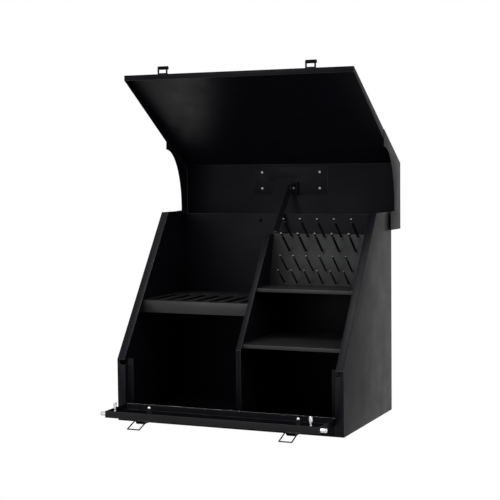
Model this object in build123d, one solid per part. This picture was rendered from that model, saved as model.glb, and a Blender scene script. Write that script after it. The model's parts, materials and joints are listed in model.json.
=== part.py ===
from build123d import *
import os
from math import atan2, cos, degrees, hypot, pi, radians, sin

os.makedirs("parts", exist_ok=True)

# Portable sheet-steel tool box, drawn as it stands open: lid up, front door down.
# X runs to the right, Y to the back, Z up. Z 0 is the underside. All sizes in mm.

# Cabinet
cabinet_width = 571.5
cabinet_depth = 358.0
cabinet_height = 490.0
knee_height = 148.0
top_depth = 116.0
sheet = 1.2
flange_width = 19.25
top_return = 12.0
back_wall_height = cabinet_height - 7.0

half_width = cabinet_width / 2
inner_half = half_width - sheet
front_y = -cabinet_depth / 2
back_y = cabinet_depth / 2
slope_top_y = back_y - top_depth
slope_run = (slope_top_y - front_y) / (cabinet_height - knee_height)
flange_inner = half_width - flange_width

# Bottom rail and door hinge
rail_height = 24.8
rail_step_depth = 16.0
rail_upstand = 12.0
door_hinge_y = front_y + 11.6
door_hinge_z = 37.0
door_leaf_low = 26.5
door_knuckle_radius = 2.5
door_pin_radius = 1.4
door_hinge_inset = 36.75
door_hinge_half = half_width - door_hinge_inset
door_knuckles = 7

# Door, lying open in front of the cabinet
door_side_gap = 1.0
door_half = flange_inner - sheet - door_side_gap
door_underside = 26.0
door_flange_top = 41.4
door_free_y = door_hinge_y - (knee_height - door_hinge_z) - 0.6
door_rear_y = front_y + 8.4

# Door jambs: the stepped strips that the closed door rests on
jamb_front_y = door_hinge_y - door_hinge_z + door_flange_top + 0.4
jamb_width = 34.05
jamb_inner = half_width - jamb_width
jamb_top = knee_height

# Slide bolts at the free corners of the door
bolt_radius = 5.0
bolt_y = door_free_y + 8.0
bolt_z = 33.5
bolt_reach = 14.7
bolt_tip = door_half + bolt_reach
bolt_tail = door_half - 58.3
bolt_knob_x = door_half - 22.3
bolt_lock_travel = 4.8
running_gap = 0.06
guide_half = 6.2
finger_pin_top = 62.0
guide_inner_ear = door_half - 48.3
guide_outer_ear = jamb_inner - sheet - 1.0

# Lid and its hinge
lid_hinge_y = back_y + 3.4
lid_hinge_z = cabinet_height - 40.0
lid_knuckle_radius = 2.7
lid_pin_radius = 1.5
lid_hinge_inset = 15.75
lid_hinge_half = half_width - lid_hinge_inset
lid_knuckles = 7
lid_leaf_width = 28.0
lid_side_gap = 5.05
lid_half = half_width + lid_side_gap
lid_top_z = cabinet_height + 13.6
lid_bend_y = slope_top_y - 39.7
lid_front_y = front_y - 13.3
lid_front_z = knee_height + 5.4
lid_front_flange = 12.8
lid_rear_y = back_y + 7.8
lid_rear_low_z = lid_hinge_z - 1.0
lid_side_flange = 16.0
lid_nose_flange = 19.0

# Curved side skirts of the lid
skirt_nose_z = lid_hinge_z - 76.8
skirt_nose_low = (lid_bend_y - 40.2, skirt_nose_z - 1.7)
skirt_arc_end = (back_y - 49.6, lid_hinge_z + 5.5)
skirt_tab_y = back_y - 37.0
skirt_tab_z = lid_hinge_z - 26.0

# Divider, rack and shelves
divider_x = 12.5
divider_front_y = front_y + 27.0
divider_top_z = cabinet_height - 52.0
divider_flange = 12.0
front_setback = 4.9
rack_top_z = cabinet_height - 211.0
rack_front_y = front_y + (rack_top_z - knee_height) * slope_run + 9.304
rack_lip = 29.0
rack_slots = 7
rack_slot_width = 20.0
rack_slot_length = 150.0
rack_slot_pitch = 40.0
rack_slot_front = rack_front_y + 22.0
board_rise = 123.5
upper_shelf_z = divider_top_z - board_rise
upper_shelf_front = front_y + (upper_shelf_z - knee_height) * slope_run + 7.584
shelf_spacing = 123.0
lower_shelf_z = upper_shelf_z - shelf_spacing
lower_shelf_front = front_y + (lower_shelf_z - knee_height) * slope_run + 7.819
shelf_lip = 8.2

# Socket board and its pegs
board_foot_y = back_y - 126.3
board_head_y = back_y - 97.8
board_return = 22.0
board_sheet = 1.5
peg_tilt = 40.0
large_peg_radius = 2.9
small_peg_radius = 2.2
large_peg_pitch = 42.8
small_peg_pitch = 33.3
large_pegs_per_row = 5
small_pegs_per_row = 6
large_peg_length = 73.0
small_peg_length = 63.0
short_peg_length = 55.0
large_row_start = 51.0
low_large_row_start = 48.0
small_row_start = 46.5
low_small_row_start = 41.0
large_row_drop = 8.0
low_large_row_drop = 42.5
small_row_lift = 34.0
low_small_row_lift = 4.0

# Gas strut, between the divider and the open lid
strut_x = 0.0
strut_lid_y = lid_hinge_y + 43.6
strut_lid_z = lid_hinge_z + 97.0
strut_open_length = 300.0
strut_open_angle = 47.73
strut_tube_radius = 6.25
strut_bore_radius = 5.2
strut_rod_radius = 3.5
strut_tube_length = 141.0
strut_eye_radius = 7.6
strut_eye_half = 3.0
strut_pin_radius = 4.0
strut_side_gap = 0.4
mount_width = 15.3
mount_depth = 32.0
mount_height = 9.9
stud_radius = 3.6

# Bracket on the lid
bracket_half = 101.0
bracket_sheet = 2.0
bracket_back_y = lid_hinge_y - 152.0
bracket_front_y = lid_hinge_y - 81.0
bracket_notch_x = -53.5
bracket_notch_y = bracket_back_y + 30.6
bracket_ramp = 29.5
rivet_radius = 3.6

# Draw latches
latch_x = door_half - 76.8
latch_pivot_y = door_free_y + 33.0
latch_pivot_z = 17.5
latch_nut_y = latch_pivot_y + 40.0
latch_pin_radius = 2.0
latch_base_half = 12.6
latch_spacer_height = 8.0
latch_spacer_radius = 6.0
latch_nut_radius = 5.0
latch_nut_height = 4.5
bail_pivot_y = latch_pivot_y + 9.0
bail_pivot_z = 21.2
bail_radius = 1.5
bail_half = 15.0
bail_reach = 50.5
bail_droop = 19.0
lever_half = 10.6
keeper_half = 13.0
keeper_sheet = 2.0
keeper_reach = 14.2
keeper_curl_radius = 4.2
keeper_rim = 3.8

# Carry handle on the lid
handle_pivot_y = lid_bend_y + 71.7
handle_lift = 9.0
handle_radius = 4.0
handle_half = 58.0
handle_drop = 36.0
handle_stub = 75.0
handle_bracket_x = handle_half + 10.0


def prism_x(points, x_low, x_high):
    """Solid with a side-view outline of (y, z) points, from x_low to x_high."""
    outline = Polyline([(x_low, y, z) for y, z in points], close=True)
    return extrude(make_face(outline), amount=x_high - x_low, dir=(1, 0, 0))


def prism_z(points, z_low, z_high):
    """Solid with a plan-view outline of (x, y) points."""
    outline = Polyline([(x, y, z_low) for x, y in points], close=True)
    return extrude(make_face(outline), amount=z_high - z_low, dir=(0, 0, 1))


def block(x0, x1, y0, y1, z0, z1):
    """Plain block between two corners."""
    centre = ((x0 + x1) / 2, (y0 + y1) / 2, (z0 + z1) / 2)
    return Pos(*centre) * Box(x1 - x0, y1 - y0, z1 - z0)


def rod_x(x0, x1, y, z, radius):
    """Round bar along X."""
    return Pos((x0 + x1) / 2, y, z) * Rot(0, 90, 0) * Cylinder(radius, x1 - x0)


def rod_z(x, y, z0, z1, radius):
    """Round bar along Z."""
    return Pos(x, y, (z0 + z1) / 2) * Cylinder(radius, z1 - z0)


def bar(start, end, radius):
    """Round bar between two points."""
    span = Vector(*end) - Vector(*start)
    base = Plane(origin=start, z_dir=span)
    return base * Pos(0, 0, span.length / 2) * Cylinder(radius, span.length)


def band(points, thickness):
    """Side-view outline of bent sheet whose outer face follows the (y, z) points."""
    normals = []
    for a, b in zip(points, points[1:]):
        length = hypot(b[0] - a[0], b[1] - a[1])
        normals.append((-(b[1] - a[1]) / length, (b[0] - a[0]) / length))
    inner = []
    for i, point in enumerate(points):
        first = normals[max(i - 1, 0)]
        second = normals[min(i, len(normals) - 1)]
        share = thickness / (1 + first[0] * second[0] + first[1] * second[1])
        inner.append((point[0] + (first[0] + second[0]) * share, point[1] + (first[1] + second[1]) * share))
    return list(points) + inner[::-1]


def mirrored(part):
    """The same piece on the left side."""
    return mirror(part, about=Plane.YZ)


def opened(part):
    """Turns a piece of the lid from its closed place to its open place."""
    return part.rotate(Axis((0, lid_hinge_y, lid_hinge_z), (1, 0, 0)), -90)


def save(part, name):
    """Writes one piece as its own file."""
    part.label = name
    export_step(part, "parts/" + name + ".step")


def slope_y(z):
    """Front face of the cabinet's sloping edge at height z."""
    return front_y + (z - knee_height) * slope_run


def closed_y(y, z):
    """Where a point of the open door lies, front to back, once the door is shut."""
    return door_hinge_y + (z - door_hinge_z)


def closed_z(y, z):
    """Height of a point of the open door once the door is shut."""
    return door_hinge_z - (y - door_hinge_y)


bolt_closed_z = closed_z(bolt_y, bolt_z)
notch_half = bolt_radius + 1.0
notch_outer = bolt_tip + 1.0


def bolt_notch(y_front, y_rear):
    """Round-ended slot that lets the pushed-out bolt swing in with the door."""
    end_x = notch_outer - notch_half
    straight = block(flange_inner - sheet - 1, end_x, y_front, y_rear,
                     bolt_closed_z - notch_half, bolt_closed_z + notch_half)
    middle = (y_front + y_rear) / 2
    round_end = Pos(end_x, middle, bolt_closed_z) * Rot(90, 0, 0) * Cylinder(notch_half, y_rear - y_front)
    return straight + round_end


# Cabinet pieces

def side_panel():
    """Right side wall with its folded front flange and top return."""
    outline = [(front_y, 0), (back_y, 0), (back_y, cabinet_height), (slope_top_y, cabinet_height),
               (front_y, knee_height)]
    wall = prism_x(outline, inner_half, half_width)
    front_edge = [(slope_top_y, cabinet_height), (front_y, knee_height), (front_y, 0)]
    flange = prism_x(band(front_edge, sheet), flange_inner, half_width)
    top_low = cabinet_height - sheet
    top = block(half_width - top_return, half_width, slope_top_y, back_y, top_low, cabinet_height)
    return wall + flange + top - bolt_notch(front_y - 1, front_y + 5)


def back_panel():
    return block(-inner_half, inner_half, back_y - sheet, back_y, 0, back_wall_height)


def floor_pan():
    return block(-inner_half, inner_half, front_y + sheet, back_y - sheet, 0, sheet)


def bottom_rail():
    """Folded front rail: face, step back and the upstand that carries the door hinge."""
    step_back_y = front_y + rail_step_depth
    edge = [(step_back_y, rail_height + rail_upstand), (step_back_y, rail_height), (front_y, rail_height),
            (front_y, 0)]
    sheet_line = [(step_back_y - sheet, rail_height + rail_upstand), (step_back_y - sheet, rail_height),
                  (front_y, rail_height), (front_y, 0)]
    return prism_x(band(sheet_line, sheet), -jamb_inner + 0.3, jamb_inner - 0.3) + prism_x(
        band(edge[1:], sheet), -flange_inner, flange_inner)


def door_jamb():
    """Right door jamb: a return behind the flange and the strip the shut door rests on."""
    back = jamb_front_y + sheet
    inside = front_y + sheet
    knee = knee_height - 1.0
    outline = [(inside, rail_height), (back, rail_height), (back, jamb_top),
               (slope_y(jamb_top) + 1.6, jamb_top), (inside, knee)]
    side = prism_x(outline, flange_inner - sheet, flange_inner)
    strip = block(jamb_inner, inner_half, jamb_front_y, back, rail_height, jamb_top)
    return side + strip - bolt_notch(front_y, jamb_front_y - 0.6)


def center_divider():
    """Upright between the bays, with a folded flange along its front edge."""
    corner_z = knee_height + (divider_front_y - front_y - front_setback) / slope_run
    top_y = slope_y(divider_top_z) + front_setback
    end_y = back_y - sheet
    wall = prism_x([(divider_front_y, sheet), (end_y, sheet), (end_y, divider_top_z), (top_y, divider_top_z),
                    (divider_front_y, corner_z)], divider_x, divider_x + sheet)
    edge = [(top_y, divider_top_z), (divider_front_y, corner_z), (divider_front_y, sheet)]
    return wall + prism_x(band(edge, sheet), divider_x, divider_x + divider_flange)


def shelf(x0, x1, front, top, lip):
    """Flat deck with a front lip and a fixing flange along the back wall."""
    end = back_y - sheet
    deck = block(x0, x1, front, end, top - sheet, top)
    nose = block(x0, x1, front, front + sheet, top - lip, top)
    rear = block(x0, x1, end - sheet, end, top - 13, top)
    return deck + nose + rear


def tool_rack():
    """Left shelf with long slots that tools hang through."""
    rack = shelf(-inner_half, divider_x, rack_front_y, rack_top_z, rack_lip)
    middle = (divider_x - inner_half) / 2
    radius = rack_slot_width / 2
    for i in range(rack_slots):
        x = middle + (i - (rack_slots - 1) / 2) * rack_slot_pitch
        low = rack_slot_front + radius
        high = rack_slot_front + rack_slot_length - radius
        rack -= block(x - radius, x + radius, low, high, rack_top_z - 3, rack_top_z + 3)
        rack -= rod_z(x, low, rack_top_z - 3, rack_top_z + 3, radius)
        rack -= rod_z(x, high, rack_top_z - 3, rack_top_z + 3, radius)
    return rack


def board_y(z):
    """Front face of the socket board at height z."""
    return board_foot_y + (z - upper_shelf_z) * (board_head_y - board_foot_y) / (divider_top_z - upper_shelf_z)


def socket_board():
    edge = [(board_head_y + board_return, divider_top_z), (board_head_y, divider_top_z),
            (board_foot_y, upper_shelf_z)]
    below = block(0, half_width, board_foot_y - 5, board_foot_y + 5, upper_shelf_z - 5, upper_shelf_z)
    return prism_x(band(edge, board_sheet), divider_x + sheet, inner_half) - below


def peg(x, z, radius, length):
    """One slanting socket peg, trimmed to the face of the board, with a domed tip."""
    root = (x, board_y(z) + 6 * cos(radians(peg_tilt)), z - 6 * sin(radians(peg_tilt)))
    tip = (x, board_y(z) - length * cos(radians(peg_tilt)), z + length * sin(radians(peg_tilt)))
    low = z - large_peg_length / 2
    high = z + large_peg_length / 2
    rear = board_y(z) + large_peg_length / 2
    behind = [(board_y(low), low), (board_y(high), high), (rear, high), (rear, low)]
    whole = bar(root, tip, radius) + Pos(*tip) * Sphere(radius)
    return whole - prism_x(behind, x - 10, x + 10)


def peg_row(first_x, z, length, radius, pitch, count):
    """A level row of like pegs."""
    return [peg(first_x + i * pitch, z, radius, length) for i in range(count)]


def large_pegs():
    upper = peg_row(divider_x + large_row_start, divider_top_z - large_row_drop, large_peg_length,
                    large_peg_radius, large_peg_pitch, large_pegs_per_row)
    return upper + peg_row(divider_x + low_large_row_start, divider_top_z - low_large_row_drop,
                           large_peg_length, large_peg_radius, large_peg_pitch, large_pegs_per_row)


def small_pegs():
    upper = peg_row(divider_x + small_row_start, upper_shelf_z + small_row_lift, small_peg_length,
                    small_peg_radius, small_peg_pitch, small_pegs_per_row)
    return upper + peg_row(divider_x + low_small_row_start, upper_shelf_z + low_small_row_lift,
                           short_peg_length, small_peg_radius, small_peg_pitch, small_pegs_per_row)


# Hinges

def knuckle_spans(half, count, start):
    """X ranges of every second knuckle, beginning at number start."""
    step = 2 * half / count
    gap = 0.4
    return [(-half + i * step + gap, -half + (i + 1) * step - gap) for i in range(start, count, 2)]


def hinge_leaf(half, count, start, y, z, knuckle, pin, plate, tab):
    """Piano-hinge leaf: a flat plate, tabs and the knuckles they curl into.

    plate and tab are (y low, y high, z low, z high).
    """
    leaf = block(-half + 1, half - 1, *plate)
    for low, high in knuckle_spans(half, count, start):
        leaf += block(low, high, *tab)
        leaf += rod_x(low, high, y, z, knuckle)
    return leaf - rod_x(-half - 1, half + 1, y, z, pin + running_gap)


def door_rail_leaf():
    outer = front_y + rail_step_depth - sheet
    return hinge_leaf(door_hinge_half, door_knuckles, 0, door_hinge_y, door_hinge_z, door_knuckle_radius,
                      door_pin_radius, (outer - sheet, outer, door_leaf_low, door_hinge_z - 4.0),
                      (outer - sheet, outer, door_hinge_z - 4.5, door_hinge_z))


def door_tray_leaf():
    return hinge_leaf(door_hinge_half, door_knuckles, 1, door_hinge_y, door_hinge_z, door_knuckle_radius,
                      door_pin_radius, (door_rear_y, door_rear_y + sheet, door_leaf_low, door_hinge_z - 3.8),
                      (door_rear_y, door_rear_y + sheet, door_hinge_z - 4.5, door_hinge_z))


def lid_back_leaf():
    return hinge_leaf(lid_hinge_half, lid_knuckles, 0, lid_hinge_y, lid_hinge_z, lid_knuckle_radius,
                      lid_pin_radius,
                       (back_y, back_y + sheet, lid_hinge_z - lid_leaf_width, lid_hinge_z - 3.7),
                      (back_y, back_y + sheet, lid_hinge_z - 5.0, lid_hinge_z))


def lid_top_leaf():
    """Drawn closed, then turned with the lid."""
    inside = lid_rear_y - sheet
    return opened(hinge_leaf(lid_hinge_half, lid_knuckles, 1, lid_hinge_y, lid_hinge_z, lid_knuckle_radius,
                             lid_pin_radius,
                              (inside - sheet, inside, lid_hinge_z + 3.6, lid_hinge_z + lid_leaf_width),
                             (inside - sheet, inside, lid_hinge_z, lid_hinge_z + 4.5)))


# Lid

def lid_slope(z):
    """Outer face of the shut lid's sloping panel at height z."""
    return lid_bend_y - (lid_top_z - z) * (lid_bend_y - lid_front_y) / (lid_top_z - lid_front_z)


def lid_line():
    """Outer side-view line of the shut lid's sheet, from the rear flange to the front one."""
    return [(lid_rear_y, lid_rear_low_z), (lid_rear_y, lid_top_z), (lid_bend_y, lid_top_z),
            (lid_front_y, lid_front_z), (lid_front_y + lid_front_flange, lid_front_z)]


def lid_shell():
    """Bent sheet: rear flange, top, slope and front flange."""
    return opened(prism_x(band(lid_line(), sheet), -lid_half, lid_half))


def lid_edge():
    """Right edge strip, welded inside the end of the lid's bent sheet."""
    run = hypot(lid_bend_y - lid_front_y, lid_top_z - lid_front_z)
    across = (lid_top_z - lid_front_z) / run
    down = (lid_bend_y - lid_front_y) / run
    nose = (lid_slope(skirt_nose_z) + lid_nose_flange * across, skirt_nose_z - lid_nose_flange * down)
    low_z = lid_top_z - lid_side_flange
    bend_y = nose[0] + (low_z - nose[1]) * down / across
    inner_rear = lid_rear_y - lid_side_flange
    inside = band(lid_line(), sheet)[len(lid_line()):]
    outline = inside + [(inner_rear, lid_rear_low_z), (inner_rear, low_z), (bend_y, low_z), nose]
    return opened(prism_x(outline, lid_half - sheet, lid_half))


def lid_skirt():
    """Right curved side plate of the lid."""
    arc = []
    wide = skirt_arc_end[0] - skirt_nose_low[0]
    high = skirt_arc_end[1] - skirt_nose_low[1]
    for i in range(13):
        turn = radians(i * 7.5)
        arc.append((skirt_arc_end[0] - wide * cos(turn), skirt_nose_low[1] + high * sin(turn)))
    outline = [(lid_rear_y, skirt_tab_z), (lid_rear_y, lid_top_z), (lid_bend_y, lid_top_z),
               (lid_slope(skirt_nose_z), skirt_nose_z)] + arc
    outline += [(skirt_tab_y, skirt_arc_end[1]), (skirt_tab_y, skirt_tab_z + 6), (skirt_tab_y + 2, skirt_tab_z + 2),
                (skirt_tab_y + 6, skirt_tab_z)]
    return opened(prism_x(outline, lid_half, lid_half + sheet))


def lid_bracket():
    """Notched plate under the lid's top, with the ear beside the strut's upper eye."""
    high = lid_top_z - sheet
    low = high - bracket_sheet
    ear_x = strut_x + strut_eye_half + strut_side_gap
    ramp = [(bracket_notch_x + bracket_ramp, bracket_notch_y), (bracket_notch_x + 17.5, bracket_notch_y + 3.5),
            (bracket_notch_x + 7.5, bracket_notch_y + 8.0), (bracket_notch_x, bracket_notch_y + 13.0)]
    outline = [(-bracket_half, bracket_back_y), (bracket_half, bracket_back_y), (bracket_half, bracket_front_y)]
    outline += [(ear_x, bracket_front_y), (ear_x, bracket_notch_y)]
    outline += ramp
    outline += [(bracket_notch_x, bracket_front_y), (-bracket_half, bracket_front_y)]
    plate = prism_z(outline, low, high)
    stud_y = lid_hinge_y + lid_hinge_z - strut_lid_z
    stud_z = strut_lid_y - lid_hinge_y + lid_hinge_z
    ear = prism_x([(stud_y - 14, low + 0.5), (stud_y - 8, stud_z - 5), (stud_y - 4, stud_z - 8),
                   (stud_y + 4, stud_z - 8),
                   (stud_y + 8, stud_z - 5), (stud_y + 14, low + 0.5)], ear_x, ear_x + 3)
    return opened(plate + ear)


def mount_place():
    """Low x, centre y and face height of the strut's mount on the shut lid's bracket."""
    low_x = strut_x + strut_eye_half + strut_side_gap + 3.3
    centre_y = lid_hinge_y + lid_hinge_z - strut_lid_z
    return low_x, centre_y, lid_top_z - sheet - bracket_sheet - mount_height


def strut_mount():
    """Solid block beside the strut's upper eye."""
    x, y, z = mount_place()
    body = block(x, x + mount_width, y - mount_depth / 2, y + mount_depth / 2, z, z + mount_height)
    edges = body.faces().sort_by(Axis.Z)[0].edges()
    return opened(chamfer(edges, 1.2))


def strut_mount_stud():
    """Domed stud in the middle of the mount."""
    x, y, z = mount_place()
    stud = rod_z(x + mount_width * 0.36, y, z - 1.5, z, stud_radius)
    return opened(chamfer(stud.edges().sort_by(Axis.Z)[0], 0.9))


def rivet(x, y, z_face, down):
    """Low round rivet head on a flat face of the shut lid."""
    side = -1 if down else 1
    head = Pos(x, y, z_face) * Sphere(rivet_radius * 1.25)
    keep = Pos(x, y, z_face + side * 0.9) * Box(12, 12, 1.8)
    return head & keep


def bracket_rivets():
    face = lid_top_z - sheet - bracket_sheet
    side = bracket_half - 21.5
    places = [(x, y) for x in (-side, side) for y in (bracket_back_y + 14.1, bracket_front_y - 15.4)]
    return [opened(rivet(x, y, face, True)) for x, y in places]


def slope_frame():
    """Unit vectors up the shut lid's slope and out of it, as (y, z)."""
    run = hypot(lid_bend_y - lid_front_y, lid_top_z - lid_front_z)
    up = ((lid_bend_y - lid_front_y) / run, (lid_top_z - lid_front_z) / run)
    return up, (-up[1], up[0])


def keeper(x):
    """Hook plate on the lid's front edge, with a window and a curled lip."""
    up, out = slope_frame()
    foot = (lid_front_y, lid_front_z)
    leg_length = 18.0
    head = (foot[0] + up[0] * leg_length, foot[1] + up[1] * leg_length)
    leg = prism_x([foot, head, (head[0] + out[0] * keeper_sheet, head[1] + out[1] * keeper_sheet),
                   (foot[0] + out[0] * keeper_sheet, foot[1] + out[1] * keeper_sheet)],
                  x - keeper_half, x + keeper_half)
    lip_y = foot[0] - keeper_reach
    plate = block(x - keeper_half, x + keeper_half, lip_y, foot[0], foot[1], foot[1] + keeper_sheet)
    curl_z = foot[1] + keeper_curl_radius
    curl = rod_x(x - keeper_half, x + keeper_half, lip_y, curl_z, keeper_curl_radius)
    bore = rod_x(x - keeper_half - 1, x + keeper_half + 1, lip_y, curl_z, 1.6)
    side = keeper_half - keeper_rim
    window_front = lip_y + keeper_curl_radius + 0.1
    window = block(x - side, x + side, window_front, foot[0] - 2.2, foot[1] - 1, foot[1] + 8)
    return opened(leg + plate + curl - bore - window)


def keeper_rivets():
    up, out = slope_frame()
    found = []
    for x in (-latch_x, latch_x):
        for side in (-7.0, 7.0):
            seat = (lid_front_y + up[0] * 12 + out[0] * keeper_sheet,
                    lid_front_z + up[1] * 12 + out[1] * keeper_sheet)
            end = (seat[0] + out[0] * 1.4, seat[1] + out[1] * 1.4)
            found.append(opened(bar((x + side, *seat), (x + side, *end), 2.6)))
    return found


# Carry handle

def handle_bracket(x):
    """Eye plate on the lid's top for one end of the handle."""
    base = block(x - 12, x + 12, handle_pivot_y - 14, handle_pivot_y + 14, lid_top_z, lid_top_z + 2)
    centre_z = lid_top_z + handle_lift
    eye = rod_x(x - 4, x + 4, handle_pivot_y, centre_z, 6.6)
    web = block(x - 4, x + 4, handle_pivot_y - 6, handle_pivot_y + 6, lid_top_z + 1, centre_z - 1.5)
    bore = rod_x(x - 20, x + 20, handle_pivot_y, centre_z, handle_radius + running_gap)
    return opened(base + eye + web - bore)


def carry_handle():
    """Folding bail handle, hanging down the back of the open lid."""
    y = lid_hinge_y + (lid_top_z + handle_lift - lid_hinge_z)
    z = lid_hinge_z - (handle_pivot_y - lid_hinge_y)
    low = z - handle_drop
    grip = rod_x(-handle_half, handle_half, y, low, handle_radius)
    for side in (-1, 1):
        x = side * handle_half
        grip += rod_z(x, y, low, z, handle_radius)
        grip += Pos(x, y, low) * Sphere(handle_radius)
        grip += Pos(x, y, z) * Sphere(handle_radius)
        grip += rod_x(min(x, side * handle_stub), max(x, side * handle_stub), y, z, handle_radius)
    return grip


# Door

def door_tray():
    """Shallow folded tray, with bolt holes in its ends."""
    skin = block(-door_half, door_half, door_free_y, door_rear_y, door_underside, door_underside + sheet)
    free = block(-door_half, door_half, door_free_y, door_free_y + sheet, door_underside, door_flange_top)
    rear = block(-door_half, door_half, door_rear_y - sheet, door_rear_y, door_underside, door_flange_top)
    tray = skin + free + rear
    for x in (-door_half, door_half - sheet):
        tray += block(x, x + sheet, door_free_y, door_rear_y, door_underside, door_flange_top)
    tray -= rod_x(-door_half - 1, door_half + 1, bolt_y, bolt_z, bolt_radius + 0.5)
    return tray


def bolt_guide():
    """Right slide-bolt guide: a foot on the tray and two ears."""
    low = door_underside + sheet
    start = guide_inner_ear
    stop = guide_outer_ear
    guide = block(start, stop + sheet, bolt_y - guide_half, bolt_y + guide_half, low, low + sheet)
    for x in (start, stop):
        guide += block(x, x + sheet, bolt_y - guide_half, bolt_y + guide_half, low, bolt_z)
        guide += rod_x(x, x + sheet, bolt_y, bolt_z, guide_half)
    return guide - rod_x(start - 5, stop + 5, bolt_y, bolt_z, bolt_radius + running_gap)


def slide_bolt():
    """Right bolt, pushed out past the end of the door."""
    shaft = rod_x(bolt_tail, bolt_tip, bolt_y, bolt_z, bolt_radius)
    return chamfer(shaft.edges().sort_by(Axis.X)[-1], 0.8)


def finger_pin():
    """Upright finger pull on the bolt, thin at the foot and thick at the top."""
    foot = bolt_z + bolt_radius
    neck = rod_z(bolt_knob_x, bolt_y, foot, foot + 6, 2.3)
    taper = Pos(bolt_knob_x, bolt_y, foot + 9) * Cone(2.3, 4.2, 6)
    top = rod_z(bolt_knob_x, bolt_y, foot + 12, finger_pin_top, 4.2)
    seat = Pos(bolt_knob_x, bolt_y, foot - 0.6) * Cylinder(2.3, 1.6)
    pin = neck + taper + top + seat
    return pin - rod_x(bolt_knob_x - 20, bolt_knob_x + 20, bolt_y, bolt_z, bolt_radius)


def latch_base(x):
    """Latch base under the door: plate, two ears and the lever's pivot pin."""
    top = door_underside
    low = top - sheet
    base = block(x - latch_base_half, x + latch_base_half, latch_pivot_y - 16, latch_pivot_y + 50, low, top)
    for side in (-1, 1):
        inner = x + side * (latch_base_half - sheet)
        outer = x + side * latch_base_half
        front = latch_pivot_y - 5
        rear = latch_pivot_y + 5
        outline = [(front, low + 0.6), (front, latch_pivot_z - 3), (latch_pivot_y - 2, latch_pivot_z - 5),
                   (latch_pivot_y + 2, latch_pivot_z - 5), (rear, latch_pivot_z - 3), (rear, low + 0.6)]
        base += prism_x(outline, min(inner, outer), max(inner, outer))
    return base + rod_x(x - latch_base_half, x + latch_base_half, latch_pivot_y, latch_pivot_z, latch_pin_radius)


def latch_lever(x):
    """Channel-shaped lever, shut against the door."""
    low = latch_pivot_z - 6.5
    near = latch_pivot_y - 5.0
    tail = latch_pivot_y + 50.0
    side_line = [(near, low + 0.6), (near, low + 10.0), (near + 2, low + 12.0), (near + 17, low + 13.0),
                 (near + 21, low + 9.0), (tail - 8, low + 3.4), (tail - 4, low + 0.6)]
    lever = block(x - lever_half, x + lever_half, near, tail, low, low + sheet)
    for side in (-1, 1):
        inner = x + side * (lever_half - sheet)
        outer = x + side * lever_half
        lever += prism_x(side_line, min(inner, outer), max(inner, outer))
    tab = [(tail - 1.0, low), (tail + 5.0, low - 4.8), (tail + 5.8, low - 3.8), (tail + 0.4, low + 1.2),
           (tail - 1.0, low + 1.2)]
    lever += prism_x(tab, x - lever_half, x + lever_half)
    lever -= rod_x(x - 20, x + 20, latch_pivot_y, latch_pivot_z, latch_pin_radius + running_gap)
    return lever - rod_x(x - 20, x + 20, bail_pivot_y, bail_pivot_z, bail_radius + running_gap)


def latch_bail(x):
    """Wire loop that the lever pulls over the keeper."""
    end_y = bail_pivot_y - bail_reach * cos(radians(bail_droop))
    end_z = bail_pivot_z - bail_reach * sin(radians(bail_droop))
    wire = rod_x(x - bail_half, x + bail_half, end_y, end_z, bail_radius)
    for side in (-1, 1):
        leg_x = x + side * bail_half
        wire += bar((leg_x, bail_pivot_y, bail_pivot_z), (leg_x, end_y, end_z), bail_radius)
        wire += Pos(leg_x, end_y, end_z) * Sphere(bail_radius)
        wire += Pos(leg_x, bail_pivot_y, bail_pivot_z) * Sphere(bail_radius)
        stub = x + side * (lever_half - sheet - 0.6)
        wire += rod_x(min(stub, leg_x), max(stub, leg_x), bail_pivot_y, bail_pivot_z, bail_radius)
    return wire


def latch_spacer(x):
    low = door_underside + sheet
    return rod_z(x, latch_nut_y, low, low + latch_spacer_height, latch_spacer_radius)


def latch_bolt(x):
    """Domed nut that holds the latch, on its spacer inside the door."""
    low = door_underside + sheet + latch_spacer_height
    high = low + latch_nut_height
    nut = rod_z(x, latch_nut_y, low, high, latch_nut_radius)
    dome = Pos(x, latch_nut_y, high) * Sphere(latch_nut_radius)
    return nut + (dome & Pos(x, latch_nut_y, high + 2.5) * Box(12, 12, 5))


# Gas strut

def strut_axis_point(distance):
    """Point on the strut's axis, measured from the lower pivot."""
    turn = radians(strut_open_angle)
    y = strut_lid_y - (strut_open_length - distance) * cos(turn)
    z = strut_lid_z - (strut_open_length - distance) * sin(turn)
    return (strut_x, y, z)


def strut_anchor():
    """Plate, collar and pivot pin on the divider's left face."""
    _, y, z = strut_axis_point(0)
    plate = block(divider_x - 1.6, divider_x, y - 13, y + 13, z - 24, z + 12)
    collar = rod_x(strut_x + strut_eye_half + strut_side_gap, divider_x - 1, y, z, 6.4)
    pin = rod_x(strut_x - strut_eye_half - 2.4, divider_x - 1, y, z, strut_pin_radius)
    head = rod_x(strut_x - strut_eye_half - 2.4, strut_x - strut_eye_half - strut_side_gap, y, z, 6.4)
    return plate + collar + pin + head


def strut_rod():
    """Rod with its piston, and the lower eye."""
    low = strut_axis_point(0)
    near = strut_open_length - 14.0 - strut_tube_length
    rod = bar(strut_axis_point(6.5), strut_axis_point(near + 11), strut_rod_radius)
    piston = bar(strut_axis_point(near + 16), strut_axis_point(near + 10), strut_bore_radius - 0.1)
    eye = rod_x(strut_x - strut_eye_half, strut_x + strut_eye_half, low[1], low[2], strut_eye_radius)
    neck = bar(strut_axis_point(5), strut_axis_point(12), strut_eye_half)
    bore = rod_x(strut_x - 20, strut_x + 20, low[1], low[2], strut_pin_radius + running_gap)
    return rod + piston + eye + neck - bore


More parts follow.
